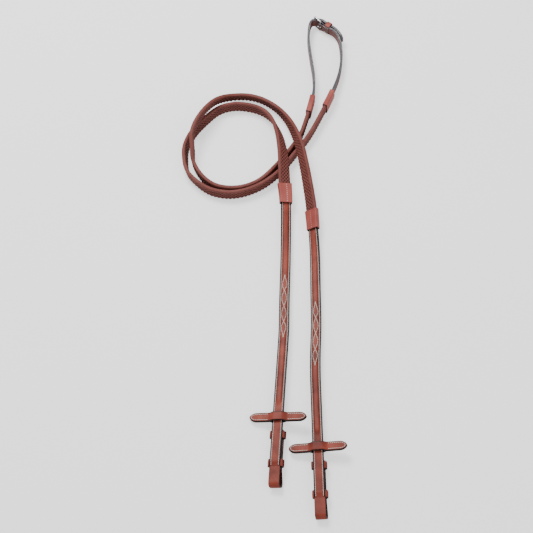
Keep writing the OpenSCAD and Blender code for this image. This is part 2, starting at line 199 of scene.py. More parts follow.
def noise(tree, coords, scale, detail=3):
    """A noise pattern with about that many cells a metre."""
    inputs = {"Vector": coords, "Scale": scale, "Detail": detail}
    return add(tree, "ShaderNodeTexNoise", inputs).outputs["Fac"]


def remap(tree, value, from_low, from_high, to_low, to_high):
    """A value mapped from one range to another and kept inside it."""
    inputs = {0: value, 1: from_low, 2: from_high, 3: to_low, 4: to_high}
    return add(tree, "ShaderNodeMapRange", inputs).outputs[0]


def mix_colour(tree, factor, a, b):
    """Colour a where factor is 0, and b where it is 1."""
    return add(tree, "ShaderNodeMix", {0: factor, 6: a, 7: b}, data_type="RGBA").outputs[2]


def start_material(name):
    """A new material with its node tree, its shader and its object coordinates."""
    material = bpy.data.materials.new(name)
    material.use_nodes = True
    tree = material.node_tree
    coords = add(tree, "ShaderNodeTexCoord").outputs["Object"]
    return material, tree, tree.nodes["Principled BSDF"], coords


def bump(tree, height, strength, distance, under=None):
    """A bumped normal, laid over the normal under if there is one."""
    inputs = {"Height": height, "Strength": strength, "Distance": distance}
    if under is not None:
        inputs["Normal"] = under
    return add(tree, "ShaderNodeBump", inputs).outputs["Normal"]


def leather(name, light, dark, edge, rough=0.5, gloss=0.25, edge_rough=0.35):
    """Oiled bridle leather: mottled tone, pore grain, and dyed edges where shade is 1; the same dark
    colour is painted shade where a piece sets shade in creases, folds and under the rein.
    """
    material, tree, shader, coords = start_material(name)
    tone = noise(tree, coords, 38, 4)
    grain = noise(tree, coords, 900, 3)
    pores = add(tree, "ShaderNodeTexVoronoi", {"Vector": coords, "Scale": 1500}).outputs["Distance"]
    shade = add(tree, "ShaderNodeAttribute", attribute_name="shade").outputs["Fac"]
    wear = remap(tree, grain, 0.3, 0.7, -0.03, 0.03)
    # shade holds edge dye and painted shade; the wear noise frays their border
    dye_shade_and_wear = add(tree, "ShaderNodeMath", {0: shade, 1: wear}).outputs[0]
    dye_and_shade = remap(tree, dye_shade_and_wear, 0.05, 0.9, 0, 1)
    face = mix_colour(tree, remap(tree, tone, 0.3, 0.7, 0, 1), srgb(dark), srgb(light))
    face = mix_colour(tree, remap(tree, pores, 0.0, 0.6, 0.22, 0), face, srgb(dark))
    face_rough = remap(tree, grain, 0.3, 0.7, rough - 0.06, rough + 0.08)
    rough_mix = add(tree, "ShaderNodeMix", {0: dye_and_shade, 2: face_rough, 3: edge_rough}, data_type="FLOAT")
    feed(tree, shader, {"Base Color": mix_colour(tree, dye_and_shade, face, srgb(edge)),
                        "Roughness": rough_mix.outputs[0],
                        "Normal": bump(tree, tone, 0.3, 0.0008, bump(tree, pores, 0.25, 0.00012)),
                        "Specular IOR Level": gloss})
    return material


def rubber(name, light, dark):
    """Pimpled grip rubber, with painted shade between the pimples where shade is 1."""
    material, tree, shader, coords = start_material(name)
    tone = noise(tree, coords, 60, 3)
    dust = noise(tree, coords, 1300, 2)
    shade = add(tree, "ShaderNodeAttribute", attribute_name="shade").outputs["Fac"]
    face = mix_colour(tree, remap(tree, shade, 0.15, 0.95, 0, 1), srgb(light), srgb(dark))
    face = mix_colour(tree, remap(tree, tone, 0.3, 0.7, 0, 0.25), face, srgb(dark))
    feed(tree, shader, {"Base Color": face,
                        "Roughness": remap(tree, dust, 0.3, 0.7, 0.5, 0.68),
                        "Normal": bump(tree, dust, 0.3, 0.0001),
                        "Specular IOR Level": 0.2})
    return material


def thread(name, light, dark):
    """Waxed linen thread."""
    material, tree, shader, coords = start_material(name)
    fibre = noise(tree, coords, 2400, 2)
    soil = noise(tree, coords, 120, 2)
    colour = mix_colour(tree, remap(tree, fibre, 0.3, 0.7, 0, 0.6), srgb(light), srgb(dark))
    colour = mix_colour(tree, remap(tree, soil, 0.4, 0.8, 0, 0.35), colour, srgb(dark))
    feed(tree, shader, {"Base Color": colour,
                        "Roughness": remap(tree, fibre, 0.3, 0.7, 0.55, 0.8),
                        "Normal": bump(tree, fibre, 0.5, 0.0002)})
    return material


def steel(name):
    """Polished stainless steel with fine scratches and faint wear."""
    material, tree, shader, coords = start_material(name)
    scratches = noise(tree, coords, 700, 5)
    wear = noise(tree, coords, 150, 2)
    colour = mix_colour(tree, remap(tree, wear, 0.35, 0.7, 0, 1), srgb("D5D6DA"), srgb("A8A9AF"))
    feed(tree, shader, {"Base Color": colour,
                        "Roughness": remap(tree, scratches, 0.3, 0.7, 0.14, 0.32),
                        "Normal": bump(tree, scratches, 0.12, 0.0001),
                        "Metallic": 1})
    return material


def webbing(name, light, dark):
    """Plain woven cotton web, the core of the grips."""
    material, tree, shader, coords = start_material(name)
    inputs = {"Vector": coords, "Scale": 900, "Distortion": 0.4}
    weave = add(tree, "ShaderNodeTexWave", inputs).outputs["Fac"]
    feed(tree, shader, {"Base Color": mix_colour(tree, weave, srgb(light), srgb(dark)),
                        "Roughness": 0.85,
                        "Normal": bump(tree, weave, 0.5, 0.0003)})
    return material


FACE = leather("face_leather", "A64D3D", "702D23", "1C0F10")
LINING = leather("lining_leather", "5E2A20", "441B15", "120908", 0.55)
SLEEVE = leather("sleeve_leather", "BC655C", "9C4841", "2A0F0D", 0.42)
# The hand straps' grey edge colour is painted reflection on their glossy black edge paint
STRAP = leather("hand_leather", "7A2F22", "5A1F17", "57555A", 0.45, 0.7, 0.3)
FILLER = leather("padding_leather", "8A5A45", "6E4434", "3A241C", 0.6)
RUBBER = rubber("grip_rubber", "874E47", "3E130E")
SLEEVE_THREAD = thread("sleeve_thread", "E3B3A6", "C98F80")
THREAD = thread("cream_thread", "FFF4EA", "F0DACB")
STEEL = steel("polished_steel")
WEBBING = webbing("core_webbing", "B9A88F", "8D7B63")


# --- Lines along the reins ---
def ease(x):
    """A smooth step from 0 to 1 as x goes from 0 to 1."""
    x = np.clip(x, 0, 1)
    return x * x * (3 - 2 * x)


def unit(v):
    """Vectors brought to length 1."""
    return v / np.linalg.norm(v, axis=-1, keepdims=True)


def extended(points):
    """Points with one more at each end."""
    return np.vstack([2 * points[0] - points[1], points, 2 * points[-1] - points[-2]])


def spline(p, q, r, s, t):
    """The point at share t between q and r, on a smooth curve through p, q, r and s."""
    return (2*q + (r - p)*t + (2*p - 5*q + 4*r - s)*t**2 + (3*q - p - 3*r + s)*t**3) / 2


class Rein:
    """One rein's middle line, with the directions across it, along it and out of its face."""

    def __init__(self, route):
        points = np.array(route, float)
        self.last = len(points) - 1
        self.points = extended(points)
        self.turns = np.linspace(0, self.last, self.last * 8 + 1)
        gaps = np.linalg.norm(np.diff(self.curve(self.turns)[:, :3], axis=0), axis=1)
        self.distances = np.concatenate([[0], np.cumsum(gaps)])
        self.length = self.distances[-1]

    def curve(self, u):
        """Points (x, y, height, roll) on a smooth curve through the route, u route points along."""
        i = np.clip(np.floor(u).astype(int), 0, self.last - 1)
        return spline(*(self.points[i + k] for k in range(4)), (u - i)[:, None])

    def frames(self, d):
        """Middle points at distances d, and the directions across, along and out of the face."""
        u = np.interp(d, self.distances, self.turns)
        middle = self.curve(u)
        along = unit(self.curve(u + 0.01)[:, :3] - self.curve(u - 0.01)[:, :3])
        side = unit(np.cross(along, (0, 0, 1)))
        up = np.cross(side, along)
        roll = np.radians(middle[:, 3:])
        across = np.cos(roll) * side + np.sin(roll) * up
        return middle[:, :3], across, along, np.cos(roll) * up - np.sin(roll) * side

    def place(self, d, v, h):
        """Points at distances d, v across and h out of the face; v and h may have one more axis."""
        d, v, h = np.asarray(d, float), np.asarray(v, float), np.asarray(h, float)
        middle, across, _, out = self.frames(d)
        if v.ndim == 2:
            middle, across, out = (x[:, None, :] for x in (middle, across, out))
        return middle + v[..., None] * across + h[..., None] * out

    def block(self, d):
        """A function that places (across, along, out) near distance d on a straight stretch."""
        middle, across, along, out = (x[0] for x in self.frames(np.array([float(d)])))
        axes = np.array([across, along, out])
        return lambda points: middle + np.asarray(points, float) @ axes


REINS = {side: Rein(ROUTES[side]) for side in SIDES}


# --- Meshes ---
def add_piece(name, points, faces, material, slot, nodes=(), body="reins", shade=None, sharp=45):
    """Makes a piece from points in millimetres, with shade as its share of the dark edge colour at each
    point: edge dye, and painted shade where a piece adds it.
    """
    mesh = bpy.data.meshes.new(name)
    points = np.asarray(points, float).reshape(-1, 3)
    mesh.from_pydata((points * MM).tolist(), [], faces)
    if shade is not None:
        values = np.array(shade, np.float32).reshape(-1)
        mesh.attributes.new("shade", "FLOAT", "POINT").data.foreach_set("value", values)
    work = bmesh.new()
    work.from_mesh(mesh)
    bmesh.ops.recalc_face_normals(work, faces=work.faces)
    work.to_mesh(mesh)
    work.free()
    mesh.polygons.foreach_set("use_smooth", [True] * len(mesh.polygons))
    mesh.set_sharp_from_angle(angle=math.radians(sharp))
    piece = new_object(name, mesh)
    mesh.materials.append(material)
    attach(piece, body)
    if nodes:
        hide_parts(*nodes)
    return piece


def loft_faces(rings, points, closed=False, first=0):
    """Faces between rings of points; a loft that isn't closed on itself gets two end caps."""
    i = np.arange(rings if closed else rings - 1)[:, None]
    j = np.arange(points)[None, :]
    here = first + i * points
    after = first + (i + 1) % rings * points
    turn = (j + 1) % points
    faces = np.stack([here + j, after + j, after + turn, here + turn], -1).reshape(-1, 4).tolist()
    if not closed:
        end = first + (rings - 1) * points
        faces.append(list(range(first, first + points)))
        faces.append(list(range(end + points - 1, end - 1, -1)))
    return faces


def loft(name, rings, closed=False, **rest):
    """A piece skinned over an array of rings: ring, point, coordinate."""
    rings = np.asarray(rings)
    return add_piece(name, rings, loft_faces(len(rings), rings.shape[1], closed), **rest)


def outline(width, low, high, corner, across=20, side=2, arc=3):
    """Rounded rectangle as arrays of places across and out, from the lower left corner."""
    w, c = width / 2, corner
    centres = [(-w + c, low + c), (w - c, low + c), (w - c, high - c), (-w + c, high - c)]
    points = []
    for k, (x, y) in enumerate(centres):
        start = math.radians(180 + 90 * k)
        for j in range(arc + 1):
            a = start + math.pi / 2 * j / arc
            points.append((x + c * math.cos(a), y + c * math.sin(a)))
        x2, y2 = centres[(k + 1) % 4]
        a = start + math.pi / 2
        end = (x2 + c * math.cos(a), y2 + c * math.sin(a))
        cuts = across if k % 2 == 0 else side
        x1, y1 = points[-1]
        dx, dy = end[0] - x1, end[1] - y1
        points += [(x1 + dx * j / cuts, y1 + dy * j / cuts) for j in range(1, cuts)]
    return np.array(points).T


def dye_and_shade(v, half, fade=0.7):
    """Share of edge dye at v across a strap: 1 at its edges, 0 on its face."""
    return ease((np.abs(v) - (half - fade)) / (fade * 0.7))


def dip(v, middle, width):
    """A narrow channel round |v| = middle, 1 at its deepest."""
    return np.exp(-((np.abs(v) - middle) / width) ** 2)


def cut_out(piece, cutter):
    """Takes the cutter's shape out of a piece and deletes the cutter."""
    modifier = piece.modifiers.new("cut", "BOOLEAN")
    modifier.object = cutter
    modifier.operation = "DIFFERENCE"
    modifier.solver = "EXACT"
    graph = bpy.context.evaluated_depsgraph_get()
    mesh = bpy.data.meshes.new_from_object(piece.evaluated_get(graph))
    piece.modifiers.clear()
    piece.data = mesh
    mesh.set_sharp_from_angle(angle=math.radians(45))
    bpy.data.objects.remove(cutter)


def prism(place, edge, low, high):
    """A bare closed block for cutting: edge points (x, y) between two heights, put in place."""
    n = len(edge)
    points = place([(x, y, z) for z in (low, high) for x, y in edge])
    faces = [[k, (k + 1) % n, n + (k + 1) % n, n + k] for k in range(n)]
    faces += [list(range(n))[::-1], list(range(n, 2 * n))]
    mesh = bpy.data.meshes.new("cutter")
    mesh.from_pydata((np.asarray(points) * MM).tolist(), [], faces)
    return new_object("cutter", mesh)


def arc_points(x, y, radius, start, end, cuts=20):
    """Points round part of a circle, from start to end in degrees."""
    turns = np.radians(np.linspace(start, end, cuts))
    return [(x + radius * math.cos(a), y + radius * math.sin(a)) for a in turns]


def ribbon(path, across, width, thickness, corner=0.5, crown=0, crease=0, cuts=16, inside=0):
    """Rings and dye of a strap along a flat path; inside is the share of painted shade on its inner
    face.
    """
    across = np.array(across, float)
    normal = unit(np.cross(across, unit(np.gradient(path, axis=0))))
    width = np.broadcast_to(width, len(path))
    thickness = np.broadcast_to(thickness, len(path))
    rings = []
    shade = []
    for p, n, w, t in zip(path, normal, width, thickness):
        v, h = outline(w, -t / 2, t / 2, min(corner, t * 0.45, w * 0.45), across=cuts)
        swell = crown * (1 - (2 * v / w) ** 2) - crease * dip(v, w / 2 - 1.5, 0.35)
        h = h + np.sign(h) * swell
        rings.append(p + v[:, None] * across + h[:, None] * n)
        shade.append(np.maximum(dye_and_shade(v, w / 2), inside * (h > 0)))
    return np.array(rings), np.array(shade)


def smooth_path(points, cuts):
    """A smooth curve through flat points, with that many cuts a step."""
    p = extended(np.array(points, float))
    rows = [spline(*p[k:k + 4], t) for k in range(len(points) - 1) for t in np.arange(cuts) / cuts]
    return np.array(rows + [p[-2]])


def turned(place, profile, cuts=24):
    """Rings of a turned shape from (radius, height) pairs round the out direction."""
    turns = np.linspace(0, 2 * math.pi, cuts, endpoint=False)
    rings = [[(r * math.cos(a), r * math.sin(a), z) for a in turns] for r, z in profile]
    return place(np.array(rings))


def join_lofts(name, lofts, **rest):
    """One piece from several closed shells given as arrays of rings."""
    points = []
    faces = []
    for rings in lofts:
        faces += loft_faces(len(rings), rings.shape[1], first=len(points))
        points += rings.reshape(-1, 3).tolist()
    return add_piece(name, points, faces, **rest)


# --- Stitches: each is a capsule of rings, sunk into the leather at its ends ---
STITCH_RINGS = np.array([-1, -0.8, -0.35, 0.35, 0.8, 1])
STITCH_GIRTH = np.array([0.35, 0.85, 1, 1, 0.85, 0.35])
STITCH_LIFT = np.array([-0.9, -0.1, 0.25, 0.25, -0.1, -0.9])
STITCH_SIDES = 6


def lay_stitches(points, normals, pitch, length, slant):
    """Middles, directions and normals of the stitches along one line of points."""
    run = np.concatenate([[0], np.cumsum(np.linalg.norm(np.diff(points, axis=0), axis=1))])
    count = max(1, int(run[-1] // pitch))
    middles = (np.arange(count) + 0.5) * run[-1] / count

    def at(s, rows):
        return np.stack([np.interp(s, run, rows[:, k]) for k in range(3)], -1)

    start, end = at(middles - length / 2, points), at(middles + length / 2, points)
    normal = unit(at(middles, normals))
    along = unit(end - start)
    turned = along * math.cos(slant) + np.cross(normal, along) * math.sin(slant)
    return (start + end) / 2, unit(turned), normal


def stitch_piece(name, lines, body="reins", slot="sleeve_leather", radius=0.38, pitch=3.0, length=2.3,
                 slant=0.1, material=THREAD):
    """One piece holding every stitch along lines of (points, normals), each a small waxed capsule."""
    laid = [lay_stitches(points, normals, pitch, length, slant) for points, normals in lines]
    middle, along, normal = (np.concatenate([row[k] for row in laid])[:, None, None] for k in range(3))
    side = np.cross(along, normal)
    turn = np.linspace(0, 2 * math.pi, STITCH_SIDES, endpoint=False)[None, None, :, None]
    reach, girth, lift = (x[None, :, None, None] for x in (STITCH_RINGS, STITCH_GIRTH, STITCH_LIFT))
    round_it = np.cos(turn) * side + np.sin(turn) * normal
    points = middle + along * reach * length / 2 + normal * lift * radius + round_it * girth * radius
    rings = len(STITCH_RINGS)
    faces = []
    for k in range(len(middle)):
        faces += loft_faces(rings, STITCH_SIDES, first=k * rings * STITCH_SIDES)
    return add_piece(name, points, faces, material, slot, body=body, sharp=80)


def flat_seam(place, x, y, z, out):
    """A stitch line (points, normals) on a flat face that looks along out."""
    points = place(np.column_stack(np.broadcast_arrays(x, y, z)))
    normal = place([out])[0] - place([(0, 0, 0)])[0]
    return points, np.tile(normal, (len(points), 1))


# --- Rubber grips ---
PIMPLE_ALONG = 6.0              # the pits between the pimples are staggered at half of this
PIMPLE_ACROSS = 5.2
PIMPLE_RISE = 0.85
PIMPLE_CUTS = 8
GRIP_CORNER = 2.0
SEAM_BORDER = 1.4               # smooth rubber on each face beside the seam
EDGE_REACH = 2.7                # the way round the plain edge, from its middle to a face


def grip_section():
    """Places across and out, the outward direction at each, and the way from the plain edge's middle."""
    flat_v = GRIP_W / 2 - GRIP_CORNER
    flat_h = GRIP_T / 2 - GRIP_CORNER
    v, h = outline(GRIP_W, -GRIP_T / 2, GRIP_T / 2, GRIP_CORNER, across=27, side=4, arc=4)
    out = unit(np.stack([v - np.clip(v, -flat_v, flat_v), h - np.clip(h, -flat_h, flat_h)], -1))
    round_edge = np.abs(h) * EDGE_REACH / (GRIP_T / 2)
    reach = np.where(v > flat_v, round_edge, EDGE_REACH + flat_v - v)
    return v, h, out, reach


def make_grip(side):
    """The pimpled rubber cover of one rein."""
    rein = REINS[side]
    seam = -1 if side == "left" else 1          # the edge that carries the seam
    v, h, out, reach = grip_section()
    start, end = JOIN_AT + BUTT, GRIP_END_AT[side] - BUTT
    rings = int((end - start) / PIMPLE_ALONG * PIMPLE_CUTS)
    d = np.linspace(start, end, rings)
    phase = 2 * math.pi * d[:, None] / PIMPLE_ALONG
    wave = np.cos(phase) * np.cos(2 * math.pi * reach / PIMPLE_ACROSS)
    covered = ease((GRIP_W - GRIP_CORNER * 2 + EDGE_REACH - SEAM_BORDER - reach) / 0.8)
    pimple = ease((wave + 0.58) / 0.8) * covered
    level = PIMPLE_RISE * (pimple - 1) * covered - 0.1
    points = rein.place(d, -seam * (v + out[:, 0] * level), h + out[:, 1] * level)
    # shade is painted shade in the pits between the pimples
    grip = loft(f"{side}_rubber_grip_pimpled", points, material=RUBBER, slot="grip_rubber",
                nodes=[f"{side}_rubber_grip"], shade=(1 - pimple) * covered, sharp=80)
    path = rein.frames(d[::6])[0] * MM


for side in SIDES:
    make_grip(side)


# --- Cheek ends: face, lining and their stitching ---
RIB_HALF = 4.4                  # half the width that the raised middle shows beside its channels
EDGE_ROW = 5.5                  # the stitch rows' place across the rein


def rib(d, v):
    """Height of the raised middle, which narrows and sinks towards both its ends."""
    up = ease((d - RIB_START) / RIB_RAMP)
    down = ease((JOIN_AT - SLEEVE_L / 2 - 2 - d) / 8)
    share = np.minimum(up, down)
    half = RIB_HALF * (0.5 + 0.5 * share)
    dome = ease((half - np.abs(v)) / (0.48 * half)) * (1 - 0.12 * (v / RIB_HALF) ** 2)
    return RISE * share * dome


def face_top(d, v):
    """Height of the rein's face above its middle plane."""
    thick = PLY * (0.15 + 0.85 * ease((d - FACE_START) / 7))
    raised = ease((d - RIB_START) / RIB_RAMP)
    channel = 0.22 * dip(v, EDGE_ROW, 0.4) * ease((d - FACE_START - 2) / 3)
    return BOND + thick + rib(d, v) - channel - 0.2 * raised * dip(v, RIB_HALF, 0.35)


def face_normal(rein, d, v):
    """Outward directions of the face, which leans beside the raised middle."""
    across, _, out = rein.frames(d)[1:]
    slope = (face_top(d, v + 0.1) - face_top(d, v - 0.1)) / 0.2
    return unit(out - slope[:, None] * across)


def make_face(side):
    """The top ply of a cheek end, raised along its middle."""
    rein = REINS[side]
    d = np.concatenate([np.linspace(FACE_START, FACE_START + 8, 9), np.arange(34, JOIN_AT - BUTT, 2)])
    v, share = outline(REIN_W, 0, 1, 0.28, across=44, side=2, arc=4)
    dd, vv = d[:, None], v[None, :]
    top = face_top(dd, vv) - 0.35 * ease((np.abs(vv) - REIN_W / 2 + 0.8) / 0.8)
    low = BOND + rib(dd, vv)
    points = rein.place(d, np.broadcast_to(vv, top.shape), low + (top - low) * share)
    # Painted shade in the creases beside the raised middle; band is the dyed edge outside the stitch
    # rows
    crease = 0.65 * dip(vv, RIB_HALF + 0.3, 0.8) * ease((dd - RIB_START) / RIB_RAMP)
    band = ease((np.abs(vv) - EDGE_ROW - 0.4) / 0.5)
    loft(f"{side}_rein_face_leather", points, material=FACE, slot="face_leather",
         nodes=[f"{side}_rein_face"], shade=np.maximum(band, crease))


def make_lining(side):
    """The bottom ply of a cheek end, from the billet's splice to the sleeve."""
    rein = REINS[side]
    d = np.arange(SPLICE_AT, JOIN_AT - BUTT + 0.5, 3)
    v, h = outline(REIN_W, -PLY, -BOND, 0.55, across=32)
    h = h + 0.15 * dip(v, EDGE_ROW, 0.4) * (h < -1)
    rows = np.ones((len(d), 1))
    points = rein.place(d, rows * v, rows * h)
    loft(f"{side}_rein_lining_leather", points, material=LINING, slot="lining_leather",
         nodes=[f"{side}_rein_lining"], shade=rows * dye_and_shade(v, REIN_W / 2, 0.6))


def rein_rows(side, start, end, front):
    """Stitch lines along both edges of a rein, on its face or on its back."""
    rein = REINS[side]
    d = np.arange(start, end, 1.5)
    lines = []
    for v in (-EDGE_ROW, EDGE_ROW):
        row = np.full(len(d), v)
        h = face_top(d, row) if front else np.full(len(d), -PLY + 0.15)
        out = rein.frames(d)[3]
        lines.append((rein.place(d, row, h), out if front else -out))
    return lines


FANCY_FROM = 229                # where the decorative stitching begins and ends
FANCY_TO = 337
FANCY_HALF = 3.3                # half the width of its loops
FANCY_LOOPS = 4


def fancy_lines(side):
    """Two crossing lines of decorative stitching: a drop, two ovals and a drop."""
    rein = REINS[side]
    loop = (FANCY_TO - FANCY_FROM) / FANCY_LOOPS
    d = np.linspace(FANCY_FROM, FANCY_TO, 260)
    x = (d - FANCY_FROM) / loop
    bowed = np.sin(math.pi * x)
    first = x < 1
    last = x > FANCY_LOOPS - 1
    from_tip = np.clip(np.where(first, x, FANCY_LOOPS - x), 0, 1)
    drop = np.sign(bowed) * np.sin(math.pi * from_tip ** 1.5)
    width = np.where(first | last, drop, bowed)
    lines = []
    for sign in (-1, 1):
        v = sign * FANCY_HALF * width
        lines.append((rein.place(d, v, face_top(d, v)), face_normal(rein, d, v)))
    return lines


def make_rein_stitching(side):
    """The edge rows on both faces of a cheek end, and the decorative stitching."""
    end = JOIN_AT - SLEEVE_L / 2 + 2
    edge_rows = rein_rows(side, FACE_START + 1, end, front=True)
    back_rows = rein_rows(side, TAIL_END + 8, end, front=False)
    stitch_piece(f"{side}_edge_stitching", edge_rows, pitch=2.6, length=2.5, slant=0)
    stitch_piece(f"{side}_back_stitching", back_rows)
    stitch_piece(f"{side}_fancy_stitching", fancy_lines(side), radius=0.42, pitch=2.7, length=2.5,
                 slant=0)


# --- Bit end: billet, hook stud and keepers ---
TAIL_TIP = (6, 5, 4, 3, 2, 1.2, 0.6, 0.2, 0)  # rings near the tail's end, by distance from it


def billet_path():
    """The billet's middle line, as (along, out), from the splice round the fold to the tail's end."""
    mid = BILLET_T / 2
    r = FOLD_R + mid
    upper = [(x, -mid) for x in np.arange(SPLICE_AT, 0.5, -3)]
    fold = arc_points(0, FOLD_Z, r, 90, 270, 25)
    low = FOLD_Z - FOLD_R
    climb = TAIL_TOP - low
    close = [(TAIL_CLOSE * x, low + climb * ease(x) - mid) for x in np.linspace(0.04, 1, 22)]
    tail = [(x, TAIL_TOP - mid) for x in np.arange(TAIL_CLOSE + 3, TAIL_END - TAIL_TIP[0], 3)]
    tip = [(TAIL_END - x, TAIL_TOP - mid) for x in TAIL_TIP]
    return np.array(upper + fold + close + tail + tip)


TAIL_SHIFT = {"left": 2.4, "right": 1.6}  # how far the tail lies to the right of the rein


def tail_shift(side, h):
    """Shift to the right at height h: none at the rein, all of it at the tail."""
    return TAIL_SHIFT[side] * ease((-BILLET_T - h) / 3)


def make_billet(side):
    """The strap folded back round the bit, with the tail's keyhole and the stud's rivet hole."""
    path = billet_path()
    place = REINS[side].block(0)
    left = np.array(TAIL_TIP) / TAIL_TIP[0]
    width = np.full(len(path), float(REIN_W))
    width[-len(left):] = REIN_W * (0.5 + 0.5 * np.sqrt(1 - (1 - left) ** 2))
    fallen = np.maximum.accumulate(-path[:, 1] - BILLET_T / 2) / (2 * FOLD_R + BILLET_T)
    flat = np.column_stack([TAIL_SHIFT[side] * ease(fallen), path])
    # inside=0.75 paints shade on the billet's inner face, inside the fold
    rings, shade = ribbon(flat, (1, 0, 0), width, BILLET_T, 0.6, crease=0.12, cuts=30, inside=0.75)
    billet = loft(f"{side}_bit_billet_leather", place(rings), material=FACE, slot="face_leather",
                  nodes=[f"{side}_bit_billet"], shade=shade)
    slit = [(0.6, STUD_AT + 6.5), (-0.6, STUD_AT + 6.5)]
    keyhole = slit + arc_points(0, STUD_AT, 2.0, 110, 430)
    cut_out(billet, prism(place, keyhole, TAIL_TOP - BILLET_T - 1, TAIL_TOP + 0.1))
    cut_out(billet, prism(place, arc_points(0, STUD_AT, HOLE_R, 0, 345, 24), -BILLET_T - 0.1, -0.5))


def make_hook_stud(side):
    """A riveted post with a springy hook that the folded tail is pressed on to."""
    place = REINS[side].block(STUD_AT)
    post = [(0.3, -0.85), (1.5, -0.85), (1.5, -5.9), (1.9, -6.3), (1.9, -6.6), (0.3, -6.6)]
    hook = [(-2.2, -6.7), (-2.0, -6.75), (-1, -6.8), (2, -6.85), (6, -6.85), (8, -6.75),
            (8.9, -6.45), (9.4, -5.9), (9.5, -5.5), (9.5, -5.3)]
    path = np.column_stack([np.zeros(len(hook)), hook])
    width = [1.6, 2.8, 3.8, 4, 3.9, 3.7, 3.5, 3.2, 2.9, 2.4]
    thick = [0.5, 0.9] + [1.15] * 6 + [0.9, 0.5]
    rings = ribbon(path, (1, 0, 0), width, thick, 0.4, cuts=6)[0]
    join_lofts(f"{side}_hook_stud_polished", [turned(place, post), place(rings)], material=STEEL,
               slot="steel", nodes=[f"{side}_hook_stud"])


def make_keeper(side, which):
    """A narrow band from one edge of the rein round the back of the tail to the other edge."""
    place = REINS[side].block(KEEPER_AT[which])
    bottom = TAIL_TOP - BILLET_T - 1.5
    half = [(8.1, -0.5), (8.9, -0.6), (9.6, -1.2), (9.9, -2.2), (9.8, -3.6), (9.3, -5.0),
            (8.4, bottom + 0.25), (7, bottom), (4, bottom - 0.05), (0, bottom - 0.1)]
    band = half + [(-v, h) for v, h in half[-2::-1]]
    path = np.array([(v + tail_shift(side, h), 0, h) for v, h in smooth_path(band, 4)])
    rings, shade = ribbon(path, (0, 1, 0), KEEPER_L, 1.8, 0.75, crown=0.25, cuts=14)
    # Painted shade: the band gets darker below the rein, towards its bottom
    shade = np.maximum(shade, 0.75 * ease((-BILLET_T - path[:, 2:]) / 1.6))
    node = f"{side}_{which}_keeper"
    loft(f"{node}_leather", place(rings), material=FACE, slot="lining_leather", nodes=[node],
         shade=shade)


# --- Rein stops: s is the place along a stop, which lies across its rein, and t across it ---
WING_TIP = 31                   # where a wing begins to narrow to its pointed end
ARCH_RISE = 4.1                 # how far the front ply is arched over the rein
ARCH_DROP = 2.4                 # how far the back ply is arched under it
BAY_HALF = 9.1                  # half the room for the rein, between the two plies
PLY_GAP = 0.03                  # from the plane between the plies to each of them
STOP_SEAM = (14.4, 39)          # the stitches run from the arch to each wing's end
STOP_INSET = 2.7                # their distance from the edge


def stop_half(s):
    """Half width of the stop at s; the ends are pointed arches."""
    x = np.clip((np.abs(s) - WING_TIP) / (STOP_HALF - WING_TIP), 0, 1)
    return np.maximum(STOP_W / 2 * (1 - x ** 2) ** 0.62, 0.25)


def arched(s, reach, run):
    """Share of an arch at s: 0 beyond reach, and 1 from run inside it."""
    return ease((reach - np.abs(s)) / run)


def front_arch(s):
    """How far the front ply is lifted at s."""
    return ARCH_RISE * arched(s, 14.5, 8.5)


def stop_front_top(s, t):
    """Outer face of the front ply, a little domed over the rein."""
    dome = 0.3 * np.clip(1 - (s / 7.5) ** 2, 0, 1)
    return STOP_PLY + front_arch(s) + dome + 0.2 * (1 - (t / stop_half(s)) ** 2)


def stop_front_low(s):
    """Inner face of the front ply, which meets the back ply beside the rein."""
    return front_arch(s) * arched(s, BAY_HALF, 0.6) + PLY_GAP


def stop_back_top(s):
    """Inner face of the back ply."""
    return -ARCH_DROP * arched(s, BAY_HALF, 0.5) - PLY_GAP


def stop_back_low(s, t):
    """Outer face of the back ply."""
    return -STOP_PLY - ARCH_DROP * arched(s, 12, 3.4) - 0.1 * (1 - (t / stop_half(s)) ** 2)


def stop_rings(place, low, high):
    """Rings and dye of one ply, between two faces given as functions of s and t."""
    rings = []
    shade = []
    for s in STOP_HALF * np.sin(np.linspace(-math.pi / 2, math.pi / 2, 110)):
        half = float(stop_half(s))
        t, share = outline(2 * half, 0, 1, min(0.3, half * 0.4), across=14, side=3)
        h = low(s, t) + (high(s, t) - low(s, t)) * share
        h = h - 0.3 * ease((np.abs(t) - half + 0.7) / 0.7) * (share > 0.5)
        rings.append(np.column_stack([np.full(len(t), s), t, h]))
        end = ease((np.abs(s) - STOP_HALF + 1.6) / 1.0)
        shade.append(np.maximum(dye_and_shade(t, half, 2.0), end))
    return place(np.array(rings)), np.array(shade)


def stop_seam(place, face, sign, wing):
    """The stitch line round one wing, on the front (sign 1) or on the back (sign -1)."""
    start, end = STOP_SEAM
    s = start + (end - start) * np.sin(np.linspace(0, math.pi / 2, 40))
    t = np.maximum(stop_half(s) - STOP_INSET, 0)
    s = np.concatenate([s, s[::-1]]) * wing
    t = np.concatenate([t, -t[::-1]])
    return flat_seam(place, s, t, face(s, t), (0, 0, sign))


def make_stop(side):
    """A martingale stop: two plies sewn together on both sides of the rein, which it slides on."""
    place = REINS[side].block(STOP_AT)
    body = f"{side}_stop"
    rings, shade = stop_rings(place, lambda s, t: stop_front_low(s), stop_front_top)
    loft(f"{side}_rein_stop_front_leather", rings, material=FACE, slot="face_leather",
         nodes=[f"{side}_rein_stop_front"], shade=shade, body=body)
    rings, shade = stop_rings(place, stop_back_low, lambda s, t: stop_back_top(s))
    loft(f"{side}_rein_stop_back_leather", rings, material=LINING, slot="lining_leather",
         nodes=[f"{side}_rein_stop_back"], shade=shade, body=body)
    for label, face, sign in (("front", stop_front_top, 1), ("back", stop_back_low, -1)):
        lines = [stop_seam(place, face, sign, wing) for wing in (-1, 1)]
        stitch_piece(f"{side}_rein_stop_{label}_stitching", lines, body=body, radius=0.45, pitch=2.7,
                     length=2.3)


